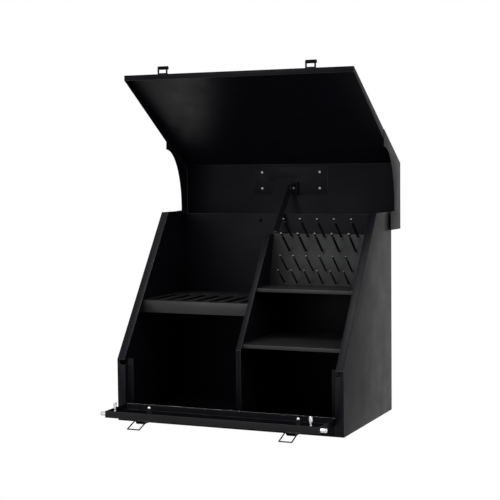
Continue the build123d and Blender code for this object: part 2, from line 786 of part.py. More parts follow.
def strut_tube():
    """Hollow cylinder, open at the end that the rod slides in."""
    far = strut_open_length - 14.0
    near = far - strut_tube_length
    tube = bar(strut_axis_point(near), strut_axis_point(far), strut_tube_radius)
    tube -= bar(strut_axis_point(near + 6), strut_axis_point(far - 3), strut_bore_radius)
    return tube - bar(strut_axis_point(near - 1), strut_axis_point(near + 7), strut_rod_radius + running_gap)


def strut_end():
    """Upper eye of the strut, beside the bracket's ear."""
    _, y, z = strut_axis_point(strut_open_length)
    eye = rod_x(strut_x - strut_eye_half, strut_x + strut_eye_half, y, z, strut_eye_radius)
    neck = bar(strut_axis_point(strut_open_length - 14), strut_axis_point(strut_open_length - 5), 4.4)
    keep = block(strut_x - strut_eye_half, strut_x + strut_eye_half, y - 30, y + 30, z - 30, z + 30)
    head = rod_x(strut_x - strut_eye_half - 2.2, strut_x - strut_eye_half, y, z, 5.0)
    collar = bar(strut_axis_point(strut_open_length - 14), strut_axis_point(strut_open_length - 11.5), 4.4)
    return eye + (neck & keep) + head + collar


def pair(name, part):
    """Saves a piece and its mirror image."""
    save(part, name + "_right")
    save(mirrored(part), name + "_left")


def group(name, solids):
    """Saves separate like solids as one node."""
    save(Compound(children=solids), name)


pair("side_panel", side_panel())
save(back_panel(), "back_panel")
save(floor_pan(), "floor_pan")
save(bottom_rail(), "bottom_rail")
pair("door_jamb", door_jamb())
save(center_divider(), "center_divider")
save(tool_rack(), "tool_rack")
save(shelf(divider_x + sheet, inner_half, upper_shelf_front, upper_shelf_z, shelf_lip), "upper_shelf")
save(shelf(divider_x + sheet, inner_half, lower_shelf_front, lower_shelf_z, shelf_lip), "lower_shelf")
save(socket_board(), "socket_board")
group("large_socket_pegs", large_pegs())
group("small_socket_pegs", small_pegs())
save(strut_anchor(), "strut_anchor")

save(door_rail_leaf(), "door_hinge_rail_leaf")
save(door_tray_leaf(), "door_hinge_tray_leaf")
save(rod_x(-door_hinge_half, door_hinge_half, door_hinge_y, door_hinge_z, door_pin_radius), "door_hinge_pin")
save(lid_back_leaf(), "lid_hinge_back_leaf")
save(lid_top_leaf(), "lid_hinge_top_leaf")
save(rod_x(-lid_hinge_half, lid_hinge_half, lid_hinge_y, lid_hinge_z, lid_pin_radius), "lid_hinge_pin")

save(lid_shell(), "lid_shell")
pair("lid_edge", lid_edge())
pair("lid_skirt", lid_skirt())
save(lid_bracket(), "lid_bracket")
save(strut_mount(), "strut_mount")
save(strut_mount_stud(), "strut_mount_stud")
group("bracket_rivets", bracket_rivets())
save(keeper(latch_x), "keeper_right")
save(keeper(-latch_x), "keeper_left")
group("keeper_rivets", keeper_rivets())
save(handle_bracket(handle_bracket_x), "handle_bracket_right")
save(handle_bracket(-handle_bracket_x), "handle_bracket_left")
save(carry_handle(), "carry_handle")

save(door_tray(), "door_tray")
pair("bolt_guide", bolt_guide())
pair("slide_bolt", slide_bolt())
pair("finger_pin", finger_pin())
for side_name, latch_place in (("right", latch_x), ("left", -latch_x)):
    save(latch_base(latch_place), "latch_base_" + side_name)
    save(latch_lever(latch_place), "latch_lever_" + side_name)
    save(latch_bail(latch_place), "latch_bail_" + side_name)
group("latch_spacers", [latch_spacer(latch_x), latch_spacer(-latch_x)])
group("latch_bolts", [latch_bolt(latch_x), latch_bolt(-latch_x)])

save(strut_rod(), "strut_rod")
save(strut_tube(), "strut_tube")
save(strut_end(), "strut_end")
print("Wrote", len(os.listdir("parts")), "pieces")
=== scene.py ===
# %% [markdown]
# # Dressing a portable steel tool box
# The object is a black sheet-steel tool box, shown standing open: its sloping lid is
# up on a gas strut and its front door lies flat. The steel pieces arrive finished from
# the frame, at their real size in metres. This script gives them paint, plating and
# soft sheet edges, and adds the small turned parts that catch the light.

# %% Load the frame
import json
import math

import bmesh
import bpy
from mathutils import Matrix, Vector


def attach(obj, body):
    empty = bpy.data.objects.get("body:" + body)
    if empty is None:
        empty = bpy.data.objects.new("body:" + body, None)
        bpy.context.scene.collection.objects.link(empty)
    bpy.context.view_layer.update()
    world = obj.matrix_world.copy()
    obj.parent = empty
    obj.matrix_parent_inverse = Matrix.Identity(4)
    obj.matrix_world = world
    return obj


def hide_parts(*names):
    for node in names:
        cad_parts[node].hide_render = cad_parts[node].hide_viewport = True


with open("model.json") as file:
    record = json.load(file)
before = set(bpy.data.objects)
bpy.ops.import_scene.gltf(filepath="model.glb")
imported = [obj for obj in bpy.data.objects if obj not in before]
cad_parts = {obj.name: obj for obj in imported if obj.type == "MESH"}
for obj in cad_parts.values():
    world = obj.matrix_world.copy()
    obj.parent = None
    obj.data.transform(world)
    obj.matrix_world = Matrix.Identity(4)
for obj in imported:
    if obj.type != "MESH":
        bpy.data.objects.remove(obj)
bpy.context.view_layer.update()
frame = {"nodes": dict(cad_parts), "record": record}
nodes = frame["nodes"]

# %% [markdown]
# ## The camera
# The picture was taken from the right, a little above the middle of the box, with a
# long lens. A camera is placed by its own three directions: to the right, up, and
# backwards. Building them from yaw, pitch and roll keeps each number readable.

# %% Place the camera
CAMERA_PLACE = Vector((1.221036, -2.851964, 0.602203))
CAMERA_YAW = math.radians(23.4314)
CAMERA_PITCH = math.radians(-3.6876)
CAMERA_ROLL = math.radians(-0.5648)
CAMERA_LENS = 92.63


def camera_matrix(place, yaw, pitch, roll):
    """World matrix of a camera that looks along +Y, turned by yaw, pitch and roll."""
    forward = Vector((-math.sin(yaw) * math.cos(pitch), math.cos(yaw) * math.cos(pitch), math.sin(pitch)))
    level = Vector((math.cos(yaw), math.sin(yaw), 0))
    upright = level.cross(forward)
    right = level * math.cos(roll) + upright * math.sin(roll)
    up = upright * math.cos(roll) - level * math.sin(roll)
    turned = Matrix((right, up, -forward)).transposed().to_4x4()
    return Matrix.Translation(place) @ turned


camera_data = bpy.data.cameras.new("photo_camera")
camera_data.sensor_width = 36
camera_data.lens = CAMERA_LENS
camera_data.clip_start = 0.05
camera_data.clip_end = 60
camera = bpy.data.objects.new("photo_camera", camera_data)
bpy.context.scene.collection.objects.link(camera)
camera.matrix_world = camera_matrix(CAMERA_PLACE, CAMERA_YAW, CAMERA_PITCH, CAMERA_ROLL)
bpy.context.scene.camera = camera
print("Camera at", [round(v, 3) for v in CAMERA_PLACE])

# %% [markdown]
# ## Materials from node groups
# Powder coat is never quite flat: it has a fine orange-peel skin and faint changes in
# gloss. Both come from noise. They are wanted in several paints, so they live in one
# shader node group with named inputs, and each paint sets its own values.

# %% A helper that makes a node group
def new_group(name, inputs, outputs):
    """Empty shader node group with named sockets: (name, kind, default) and (name, kind)."""
    group = bpy.data.node_groups.new(name, "ShaderNodeTree")
    for socket_name, kind, value in inputs:
        socket = group.interface.new_socket(socket_name, in_out="INPUT", socket_type=kind)
        if value is not None:
            socket.default_value = value
    for socket_name, kind in outputs:
        group.interface.new_socket(socket_name, in_out="OUTPUT", socket_type=kind)
    start = group.nodes.new("NodeGroupInput")
    end = group.nodes.new("NodeGroupOutput")
    return group, start, end


def noise(tree, vector, scale, detail=2.0, roughness=0.5):
    """Noise texture node fed by a vector socket. scale is a number or a socket."""
    node = tree.nodes.new("ShaderNodeTexNoise")
    node.inputs["Detail"].default_value = detail
    node.inputs["Roughness"].default_value = roughness
    tree.links.new(vector, node.inputs["Vector"])
    if isinstance(scale, (int, float)):
        node.inputs["Scale"].default_value = scale
    else:
        tree.links.new(scale, node.inputs["Scale"])
    return node


def remap(tree, value, low, high, new_low, new_high):
    """Map Range node; every limit is a number or a socket."""
    node = tree.nodes.new("ShaderNodeMapRange")
    tree.links.new(value, node.inputs["Value"])
    for name, limit in (("From Min", low), ("From Max", high), ("To Min", new_low), ("To Max", new_high)):
        if isinstance(limit, (int, float)):
            node.inputs[name].default_value = limit
        else:
            tree.links.new(limit, node.inputs[name])
    return node.outputs["Result"]


def blend_colour(tree, factor, first, second):
    """Mix node for colours; first and second are colours or sockets."""
    node = tree.nodes.new("ShaderNodeMix")
    node.data_type = "RGBA"
    tree.links.new(factor, node.inputs["Factor"])
    for place, value in ((6, first), (7, second)):
        if isinstance(value, tuple):
            node.inputs[place].default_value = value
        else:
            tree.links.new(value, node.inputs[place])
    return node.outputs[2]


# %% The coat group: fine skin, cloudy gloss and cloudy tone
COAT_INPUTS = [
    ("Position", "NodeSocketVector", None),
    ("Skin Size", "NodeSocketFloat", 900.0),
    ("Cloud Size", "NodeSocketFloat", 14.0),
    ("Low Gloss", "NodeSocketFloat", 0.5),
    ("High Gloss", "NodeSocketFloat", 0.4),
    ("Base Colour", "NodeSocketColor", (0.02, 0.02, 0.02, 1)),
    ("Cloud Colour", "NodeSocketColor", (0.03, 0.03, 0.03, 1)),
]
COAT_OUTPUTS = [("Colour", "NodeSocketColor"), ("Roughness", "NodeSocketFloat"),
                ("Height", "NodeSocketFloat")]
coat_group, coat_in, coat_out = new_group("coat_skin", COAT_INPUTS, COAT_OUTPUTS)
coat_skin = noise(coat_group, coat_in.outputs["Position"], coat_in.outputs["Skin Size"], 3.0, 0.55)
coat_cloud = noise(coat_group, coat_in.outputs["Position"], coat_in.outputs["Cloud Size"], 5.0, 0.6)
coat_mask = remap(coat_group, coat_cloud.outputs["Fac"], 0.35, 0.7, 0.0, 1.0)
coat_rough = remap(coat_group, coat_mask, 0.0, 1.0, coat_in.outputs["Low Gloss"],
                   coat_in.outputs["High Gloss"])
coat_colour = blend_colour(coat_group, coat_mask, coat_in.outputs["Base Colour"],
                           coat_in.outputs["Cloud Colour"])
coat_group.links.new(coat_colour, coat_out.inputs["Colour"])
coat_group.links.new(coat_rough, coat_out.inputs["Roughness"])
coat_group.links.new(coat_skin.outputs["Fac"], coat_out.inputs["Height"])
print("Group", coat_group.name, "has", len(coat_group.nodes), "nodes")

# %% [markdown]
# ## Paints
# Every painted steel piece uses the coat group, with a Bump node that turns its height
# into a faint skin. The values that are the same all over, such as the specular level,
# are set straight on the shader. Base colours are very dark but never zero: a few
# thousandths for the inside and the tray, and about one hundredth for the outside. The
# darker inside, flange and tray copies of the black paint are painted shade.

# %% A paint from the coat group
def start_material(name):
    """Material with its tree, its Principled BSDF and an object-space position socket."""
    material = bpy.data.materials.new(name)
    material.use_nodes = True
    tree = material.node_tree
    shader = tree.nodes["Principled BSDF"]
    place = tree.nodes.new("ShaderNodeTexCoord")
    return material, tree, shader, place.outputs["Object"]


def add_bump(tree, shader, height, strength, distance):
    """Bump node between a height and the shader's normal."""
    bump = tree.nodes.new("ShaderNodeBump")
    bump.inputs["Strength"].default_value = strength
    bump.inputs["Distance"].default_value = distance
    tree.links.new(height, bump.inputs["Height"])
    tree.links.new(bump.outputs["Normal"], shader.inputs["Normal"])


def paint(name, base, cloud, gloss, sheen, skin=900.0, depth=0.00006, strength=0.35):
    """Painted steel. base and cloud are colours, gloss is (dull, shiny) roughness, sheen is specular."""
    material, tree, shader, place = start_material(name)
    coat = tree.nodes.new("ShaderNodeGroup")
    coat.node_tree = coat_group
    tree.links.new(place, coat.inputs["Position"])
    coat.inputs["Skin Size"].default_value = skin
    coat.inputs["Low Gloss"].default_value = gloss[0]
    coat.inputs["High Gloss"].default_value = gloss[1]
    coat.inputs["Base Colour"].default_value = (*base, 1)
    coat.inputs["Cloud Colour"].default_value = (*cloud, 1)
    tree.links.new(coat.outputs["Colour"], shader.inputs["Base Color"])
    tree.links.new(coat.outputs["Roughness"], shader.inputs["Roughness"])
    shader.inputs["Specular IOR Level"].default_value = sheen
    add_bump(tree, shader, coat.outputs["Height"], strength, depth)
    return material


# The inside and flange paints are darker copies of the outside paint: painted shade.
inside_shade_paint = paint("black_inside_shade_paint", (0.0022, 0.0022, 0.0036), (0.0032, 0.0032, 0.005),
                     (0.46, 0.36), 0.055)
outside_paint = paint("black_outside_paint", (0.0085, 0.0085, 0.009), (0.0115, 0.0115, 0.0122),
                      (0.5, 0.4), 0.08)
flange_shade_paint = paint("black_flange_shade_paint", (0.0022, 0.0022, 0.0036), (0.0032, 0.0032, 0.005),
                     (0.42, 0.34), 0.08)
# The tray paint is the darkest copy of the black paint: painted shade inside the door.
tray_shade_paint = paint("black_tray_shade_paint", (0.0016, 0.0016, 0.0026), (0.0026, 0.0026, 0.004), (0.4, 0.32), 0.025)
# The edge paint is lighter and glossier than the flat paints: a painted highlight on the bevels.
edge_highlight_paint = paint("black_edge_highlight_paint", (0.02, 0.02, 0.0212), (0.032, 0.032, 0.034), (0.4, 0.28), 0.3)
board_paint = paint("grey_board_paint", (0.016, 0.0163, 0.0172), (0.026, 0.0265, 0.028), (0.6, 0.46),
                    0.16, 420.0, 0.00025, 0.7)
fitting_paint = paint("black_fitting_paint", (0.007, 0.007, 0.0075), (0.011, 0.011, 0.012), (0.36, 0.26),
                      0.25, 1400.0)
hinge_paint = paint("black_hinge_paint", (0.02, 0.02, 0.0212), (0.032, 0.032, 0.034), (0.42, 0.3), 0.4,
                    1400.0)
block_paint = paint("matt_block_coat", (0.0016, 0.0016, 0.0018), (0.0026, 0.0026, 0.0029), (0.6, 0.5),
                    0.02, 700.0)
strut_paint = paint("gloss_strut_paint", (0.004, 0.004, 0.0044), (0.006, 0.006, 0.0064), (0.2, 0.14), 0.2,
                    1800.0, 0.00002)
shelf_paint = paint("black_shelf_paint", (0.01, 0.01, 0.0106), (0.014, 0.014, 0.0148), (0.42, 0.34), 0.25)
grip_paint = paint("black_grip_coat", (0.012, 0.012, 0.0125), (0.018, 0.018, 0.019), (0.55, 0.45), 0.3,
                   500.0, 0.0002, 0.6)
print("Paints:", len(bpy.data.materials))

# %% [markdown]
# ## Bare and plated metal
# Bolts, finger pins, hinge pins and the nuts' domes are bright plated, and the strut's
# rod is polished. Pegs, rivets and hinge leaves are duller. Metal shows fine marks, so
# a noise whose position is multiplied per axis by a Vector Math node draws them, and it
# drives the colour, the roughness and a very shallow bump.

# %% Brushed metal group and materials
BRUSH_INPUTS = [
    ("Position", "NodeSocketVector", None),
    ("Stretch", "NodeSocketVector", (900.0, 900.0, 40.0)),
    ("Smooth", "NodeSocketFloat", 0.16),
    ("Rough", "NodeSocketFloat", 0.34),
]
BRUSH_OUTPUTS = [("Roughness", "NodeSocketFloat"), ("Height", "NodeSocketFloat"),
                 ("Marks", "NodeSocketFloat")]
brush_group, brush_in, brush_out = new_group("brushed_marks", BRUSH_INPUTS, BRUSH_OUTPUTS)
brush_scale = brush_group.nodes.new("ShaderNodeVectorMath")
brush_scale.operation = "MULTIPLY"
brush_group.links.new(brush_in.outputs["Position"], brush_scale.inputs[0])
brush_group.links.new(brush_in.outputs["Stretch"], brush_scale.inputs[1])
brush_noise = noise(brush_group, brush_scale.outputs["Vector"], 1.0, 4.0, 0.6)
brush_rough = remap(brush_group, brush_noise.outputs["Fac"], 0.3, 0.7, brush_in.outputs["Smooth"],
                    brush_in.outputs["Rough"])
brush_group.links.new(brush_rough, brush_out.inputs["Roughness"])
brush_group.links.new(brush_noise.outputs["Fac"], brush_out.inputs["Height"])
brush_group.links.new(brush_noise.outputs["Fac"], brush_out.inputs["Marks"])


def metal(name, dark, light, stretch, gloss, depth=0.00002):
    """Metal with marks: dark and light are colours, stretch squeezes the noise per axis."""
    material, tree, shader, place = start_material(name)
    marks = tree.nodes.new("ShaderNodeGroup")
    marks.node_tree = brush_group
    tree.links.new(place, marks.inputs["Position"])
    marks.inputs["Stretch"].default_value = stretch
    marks.inputs["Smooth"].default_value = gloss[0]
    marks.inputs["Rough"].default_value = gloss[1]
    colour = blend_colour(tree, marks.outputs["Marks"], (*dark, 1), (*light, 1))
    tree.links.new(colour, shader.inputs["Base Color"])
    tree.links.new(marks.outputs["Roughness"], shader.inputs["Roughness"])
    shader.inputs["Metallic"].default_value = 1.0
    add_bump(tree, shader, marks.outputs["Height"], 0.2, depth)
    return material


bright_metal = metal("bright_plating", (0.46, 0.46, 0.47), (0.66, 0.66, 0.67), (60.0, 900.0, 900.0),
                     (0.16, 0.3))
rod_metal = metal("polished_rod", (0.6, 0.6, 0.61), (0.74, 0.74, 0.75), (900.0, 120.0, 120.0), (0.08, 0.16))
peg_metal = metal("dark_spring_steel", (0.03, 0.03, 0.032), (0.075, 0.075, 0.08), (900.0, 90.0, 90.0),
                  (0.26, 0.42))
wire_metal = metal("black_wire", (0.02, 0.02, 0.021), (0.05, 0.05, 0.052), (400.0, 400.0, 400.0),
                   (0.28, 0.42))
rivet_metal = metal("dull_rivet_plating", (0.12, 0.12, 0.125), (0.21, 0.21, 0.216), (260.0, 260.0, 260.0),
                    (0.24, 0.4))
hinge_metal = metal("dull_hinge_steel", (0.06, 0.06, 0.064), (0.11, 0.11, 0.116), (60.0, 700.0, 700.0),
                    (0.3, 0.44))
# Lighter steel for the peg tips: a painted highlight.
tip_highlight_metal = metal("peg_tip_highlight", (0.1, 0.1, 0.104), (0.18, 0.18, 0.186), (300.0, 300.0, 300.0),
                  (0.26, 0.42))
# Worn steel for rivets and the wiper ring, and also a painted highlight on the tray's rear rim.
worn_metal_and_highlight = metal("worn_steel_and_highlight", (0.26, 0.26, 0.27), (0.42, 0.42, 0.43), (300.0, 300.0, 300.0), (0.22, 0.38))
print("Materials so far:", len(bpy.data.materials))

# %% [markdown]
# ## Sheet edges
# A folded steel box has no razor edges: powder coat rounds them, and they catch a thin
# line of light. The sheet pieces come as plain solids. Each one is copied, its
# triangles are joined back into flat faces, and a bevel operator rounds every corner
# line. The bevel's own faces take the lighter, glossier edge paint, a painted highlight
# along every edge.
# Flat faces stay flat shaded, so that their reflections are straight, and only the
# bevels and the truly curved faces are smooth.

# %% Round the edges of a copied piece
def show(mesh_object, body, slot_name, *replaced):
    """Links a finished piece, lets it ride on its body and hides what it stands for."""
    bpy.context.scene.collection.objects.link(mesh_object)
    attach(mesh_object, body)
    if replaced:
        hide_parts(*replaced)


def body_of_node(node_name):
    """Name of the body that a frame piece belongs to."""
    for body, members in frame["record"]["behaviour"]["bodies"].items():
        if node_name in members:
            return body
    raise ValueError(node_name)


def slot_of_node(node_name):
    """Material slot that the record gives to a frame piece."""
    for entry in frame["record"]["subparts"]:
        if entry["node"] == node_name:
            return entry["material_slot"]
    raise ValueError(node_name)


MERGE_GAP = 0.000002
FLAT_BEND = math.radians(0.8)
SMOOTH_BEND = math.radians(1)
SHARP_BEND = math.radians(25)
SHADING_BREAK = math.radians(50)
OUTWARD_LEAST = 0.3
BEVEL_SEGMENTS = 2


def round_edges(node_name, width, flat_paint, round_paint, outward=None):
    """Copy of a frame piece with rounded corner lines.

    outward is (direction, least distance): faces that look that way and lie further out
    than that take the outside paint.
    """
    source = nodes[node_name]
    work = bmesh.new()
    work.from_mesh(source.data)
    bmesh.ops.remove_doubles(work, verts=work.verts, dist=MERGE_GAP)
    bmesh.ops.dissolve_limit(work, angle_limit=FLAT_BEND, verts=work.verts, edges=work.edges)
    sharp = [e for e in work.edges if len(e.link_faces) == 2 and e.calc_face_angle(0) > SHARP_BEND]
    for face in work.faces:
        face.normal_update()
        bends = [e.calc_face_angle(0) for e in face.edges if len(e.link_faces) == 2]
        face.smooth = any(SMOOTH_BEND < bend < SHARP_BEND for bend in bends)
        face.material_index = 0
        if outward and face.normal.dot(Vector(outward[0])) > OUTWARD_LEAST:
            if face.calc_center_median().dot(Vector(outward[0])) > outward[1]:
                face.material_index = 2
    made = bmesh.ops.bevel(work, geom=sharp, offset=width, offset_type="OFFSET",
                           segments=BEVEL_SEGMENTS, profile=0.5, affect="EDGES",
                           clamp_overlap=True, material=-1)
    for face in made["faces"]:
        face.material_index = 1
        face.smooth = True
    mesh = bpy.data.meshes.new(node_name + "_dressed")
    work.to_mesh(mesh)
    work.free()
    mesh.materials.append(flat_paint)
    mesh.materials.append(round_paint)
    mesh.materials.append(outside_paint if outward else flat_paint)
    mesh.set_sharp_from_angle(angle=SHADING_BREAK)
    piece = bpy.data.objects.new(node_name + "_dressed", mesh)
    show(piece, body_of_node(node_name), slot_of_node(node_name), node_name)
    return piece


# %% Dress the sheet pieces
JAMB_EDGE = 0.0001
SHEET_EDGE = 0.00035
TRAY_EDGE = 0.00045
SHELF_EDGE = 0.0004
FITTING_EDGE = 0.0002
TRAY_REAR_Y = -0.1724
TRAY_REAR_Z = 0.0405
SHELVES = ("tool_rack", "upper_shelf", "lower_shelf")
LEFT = ((-1, 0, 0), 0.28)
RIGHT = ((1, 0, 0), 0.28)
BEHIND = ((0, 1, 0), -1)
BODY_SHEETS = {
    "side_panel_left": LEFT, "side_panel_right": RIGHT, "back_panel": BEHIND, "floor_pan": ((0, 0, -1), -1),
    "bottom_rail": None, "door_jamb_left": None, "door_jamb_right": None, "center_divider": None,
    "lid_shell": BEHIND, "lid_edge_left": LEFT, "lid_edge_right": RIGHT, "lid_bracket": None,
    "lid_skirt_left": LEFT, "lid_skirt_right": RIGHT,
}
for sheet_name, outward in BODY_SHEETS.items():
    # Faces that don't look outwards keep the darker paint, which is painted shade.
    sheet_paint = flange_shade_paint if sheet_name.startswith("side_panel") else inside_shade_paint
    edge_width = JAMB_EDGE if sheet_name.startswith("door_jamb") else SHEET_EDGE
    round_edges(sheet_name, edge_width, sheet_paint, edge_highlight_paint, outward)
# Inside faces of the tray take the dark tray paint, painted shade; outward faces take the outside paint.
tray = round_edges("door_tray", TRAY_EDGE, tray_shade_paint, edge_highlight_paint, ((0, -0.8, -0.6), 0.15))
# The top of the tray's rear flange takes the light worn steel: a painted highlight along its rim.
tray.data.materials.append(worn_metal_and_highlight)
for face in tray.data.polygons:
    if face.center.y > TRAY_REAR_Y and face.center.z > TRAY_REAR_Z:
        face.material_index = len(tray.data.materials) - 1
for shelf_name in SHELVES:
    round_edges(shelf_name, SHELF_EDGE, shelf_paint, edge_highlight_paint)
round_edges("socket_board", SHELF_EDGE, board_paint, board_paint)
print("Sheet pieces with rounded edges:", len(BODY_SHEETS) + len(SHELVES) + 2)

# %% Dress the small fittings
FITTINGS = [
    "handle_bracket_left", "handle_bracket_right", "bolt_guide_left",
    "bolt_guide_right", "latch_lever_left", "latch_lever_right", "strut_anchor",
]
BLOCKS = ("strut_end", "strut_mount", "keeper_left", "keeper_right")
LATCH_BASES = ("latch_base_left", "latch_base_right")
for fitting_name in FITTINGS:
    round_edges(fitting_name, FITTING_EDGE, fitting_paint, edge_highlight_paint)
for block_name in BLOCKS:
    round_edges(block_name, FITTING_EDGE, block_paint, strut_paint)
for base_name in LATCH_BASES:
    round_edges(base_name, FITTING_EDGE, hinge_metal, hinge_metal)
print("Fittings with rounded edges:", len(FITTINGS) + len(BLOCKS) + len(LATCH_BASES))

# %% [markdown]
# ## Turned parts
# Pegs, pins, bolts, nut domes, rivets and the strut's tube are all turned shapes. One
# helper makes them: it draws half of the outline as a chain of points, turns the chain
# round its axis with the spin operator, and then lays it along any direction.

# %% A lathe built on the spin operator
def lathe(work, outline, start, direction, segments=24, material=0):
    """Turned shape added to a bmesh. outline holds (distance along the axis, radius) points."""
    chain = [work.verts.new((radius, 0, distance)) for distance, radius in outline]
    edges = [work.edges.new(pair) for pair in zip(chain, chain[1:])]
    turned = bmesh.ops.spin(work, geom=chain + edges, cent=(0, 0, 0), axis=(0, 0, 1), angle=math.tau,
                            steps=segments, use_merge=True, use_duplicate=False)
    faces = {f for v in chain for f in v.link_faces}
    for item in turned["geom_last"]:
        if isinstance(item, bmesh.types.BMVert):
            faces.update(item.link_faces)
    grown = set(faces)
    while grown:
        grown = {f for face in grown for e in face.edges for f in e.link_faces} - faces
        faces |= grown
    verts = {v for face in faces for v in face.verts}
    for face in faces:
        face.material_index = material
    lay = Vector(direction).to_track_quat("Z", "Y").to_matrix().to_4x4()
    bmesh.ops.transform(work, matrix=Matrix.Translation(start) @ lay, verts=list(verts))
    return list(faces)


def finish_mesh(name, work, materials, body, slot_name, replaced=(), sharp_angle=40):
    """Closes a bmesh, gives it materials and shows it on its body."""
    bmesh.ops.remove_doubles(work, verts=work.verts, dist=0.0000005)
    bmesh.ops.recalc_face_normals(work, faces=work.faces)
    mesh = bpy.data.meshes.new(name)
    work.to_mesh(mesh)
    work.free()
    for material in materials:
        mesh.materials.append(material)
    mesh.shade_smooth()
    mesh.set_sharp_from_angle(angle=math.radians(sharp_angle))
    show(bpy.data.objects.new(name, mesh), body, slot_name, *replaced)


def dome(radius, height, rim=0.0002):
    """Outline of a low round head that stands on a flat face."""
    points = [(0, radius), (rim, radius)]
    for i in range(1, 7):
        turn = math.radians(15 * i)
        points.append((rim + (height - rim) * math.sin(turn), max(radius * math.cos(turn), 0)))
    return points


# %% Socket pegs with a collar, a clip groove and a lighter tip, a painted highlight
def peg_outline(radius, length):
    """Outline of a peg, from inside the board to its tip."""
    points = [(-0.001, radius * 1.6), (0.0012, radius * 1.6), (0.0019, radius * 1.05), (0.003, radius),
              (length - 0.0092, radius), (length - 0.0088, radius * 0.8), (length - 0.0076, radius * 0.8),
              (length - 0.0072, radius), (length, radius)]
    for i in range(1, 7):
        turn = math.radians(15 * i)
        points.append((length + radius * math.sin(turn), max(radius * math.cos(turn), 0)))
    return points


BOARD_FOOT = Vector((0, 0.0527, 0.3145))
BOARD_HEAD = Vector((0, 0.0812, 0.438))
PEG_TILT = math.radians(40)
PEG_DIRECTION = Vector((0, -math.cos(PEG_TILT), math.sin(PEG_TILT)))
TIP_HIGHLIGHT_LENGTH = 0.0015
# Each row: x of its first peg, height on the board, length, radius, pitch, number of pegs
PEG_ROWS = {
    "large_socket_pegs": [
        (0.0635, 0.43, 0.073, 0.0029, 0.0428, 5),
        (0.0605, 0.3955, 0.073, 0.0029, 0.0428, 5),
    ],
    "small_socket_pegs": [
        (0.059, 0.3485, 0.063, 0.0022, 0.0333, 6),
        (0.0535, 0.3185, 0.055, 0.0022, 0.0333, 6),
    ],
}
for peg_node, peg_rows in PEG_ROWS.items():
    peg_work = bmesh.new()
    for first_x, height, length, radius, pitch, count in peg_rows:
        share = (height - BOARD_FOOT.z) / (BOARD_HEAD.z - BOARD_FOOT.z)
        root = BOARD_FOOT.lerp(BOARD_HEAD, share)
        for index in range(count):
            root.x = first_x + index * pitch
            for face in lathe(peg_work, peg_outline(radius, length), root, PEG_DIRECTION, 20):
                # The last part of each peg takes the lighter tip metal, a painted highlight on its end.
                along = (face.calc_center_median() - root).dot(PEG_DIRECTION)
                face.material_index = 1 if along > length - TIP_HIGHLIGHT_LENGTH else 0
    finish_mesh(peg_node + "_turned", peg_work, [peg_metal, tip_highlight_metal], "cabinet", "peg_steel", (peg_node,))
print("Pegs turned:", sum(row[5] for rows in PEG_ROWS.values() for row in rows))

# %% Slide bolts and their knurled finger pins
DOOR_HALF = 0.2643
BOLT_LINE = (-0.271, 0.0335)
BOLT_START = DOOR_HALF - 0.0583
PIN_X = DOOR_HALF - 0.0223
GRIP_FOOT = 0.0192
GRIP_PITCH = 0.00117
GRIP_RADIUS = 0.0039
GRIP_ROWS = 7
bolt_outline = [(0, 0), (0, 0.0042), (0.0008, 0.005), (0.066, 0.005), (0.0662, 0.0047), (0.0668, 0.0047),
                (0.067, 0.005), (0.0718, 0.005), (0.0726, 0.0044), (0.073, 0.0036), (0.073, 0)]
for side, side_name in ((-1, "left"), (1, "right")):
    bolt_work = bmesh.new()
    lathe(bolt_work, bolt_outline, (side * BOLT_START, *BOLT_LINE), (side, 0, 0), 32)
    finish_mesh("slide_bolt_%s_turned" % side_name, bolt_work, [bright_metal], "bolt_" + side_name,
                "bright_steel", ("slide_bolt_" + side_name,))
    pin_work = bmesh.new()
    pin_foot = (side * PIN_X, *BOLT_LINE)
    lathe(pin_work, [(0.0044, 0), (0.0044, 0.0023), (0.0098, 0.0023), (0.0104, 0.0021), (0.011, 0.0023),
                     (0.0184, 0.0041), (0.0189, 0.0041), (GRIP_FOOT, 0.0037)], pin_foot, (0, 0, 1), 28)
    grip_rows = [(GRIP_FOOT + GRIP_PITCH * i, GRIP_RADIUS) for i in range(GRIP_ROWS)]
    grip = lathe(pin_work, grip_rows, pin_foot, (0, 0, 1), 28)
    bmesh.ops.poke(pin_work, faces=grip, offset=0.00028, center_mode="MEAN")
    lathe(pin_work, [(0.02635, 0.0039), (0.0267, 0.0041), (0.0275, 0.0041), (0.0285, 0.0032), (0.0285, 0)],
          pin_foot, (0, 0, 1), 28)
    finish_mesh("finger_pin_%s_turned" % side_name, pin_work, [bright_metal], "bolt_" + side_name,
                "bright_steel", ("finger_pin_" + side_name,), 30)
print("Bolts and finger pins turned")

# %% Domed nuts on their spacers
NUT_SEAT = (0.1875, -0.206, 0.0352)
NUT_RADIUS = 0.005
NUT_HEIGHT = 0.0038
NUT_LEAST_RIM = 0.0045
nut_work = bmesh.new()
for side in (-1, 1):
    seat = Vector((side * NUT_SEAT[0], NUT_SEAT[1], NUT_SEAT[2]))
    middle = Matrix.Translation(seat + Vector((0, 0, NUT_HEIGHT / 2)))
    made = bmesh.ops.create_cone(nut_work, cap_ends=True, cap_tris=False, segments=6,
                                 radius1=NUT_RADIUS, radius2=NUT_RADIUS, depth=NUT_HEIGHT, matrix=middle)
    rims = [e for e in {e for v in made["verts"] for e in v.link_edges} if e.calc_length() > NUT_LEAST_RIM]
    bmesh.ops.bevel(nut_work, geom=rims, offset=0.0003, segments=2, profile=0.5, affect="EDGES", material=-1)
    lathe(nut_work,
          [(0.0036, 0.0042), (0.0045, 0.0042)] + [(d + 0.0045, r) for d, r in dome(0.0042, 0.005)[2:]],
          seat, (0, 0, 1), 28, 1)
finish_mesh("latch_bolts_domed", nut_work, [peg_metal, bright_metal], "door", "bright_steel",
            ("latch_bolts",), 35)
print("Domed nuts made")


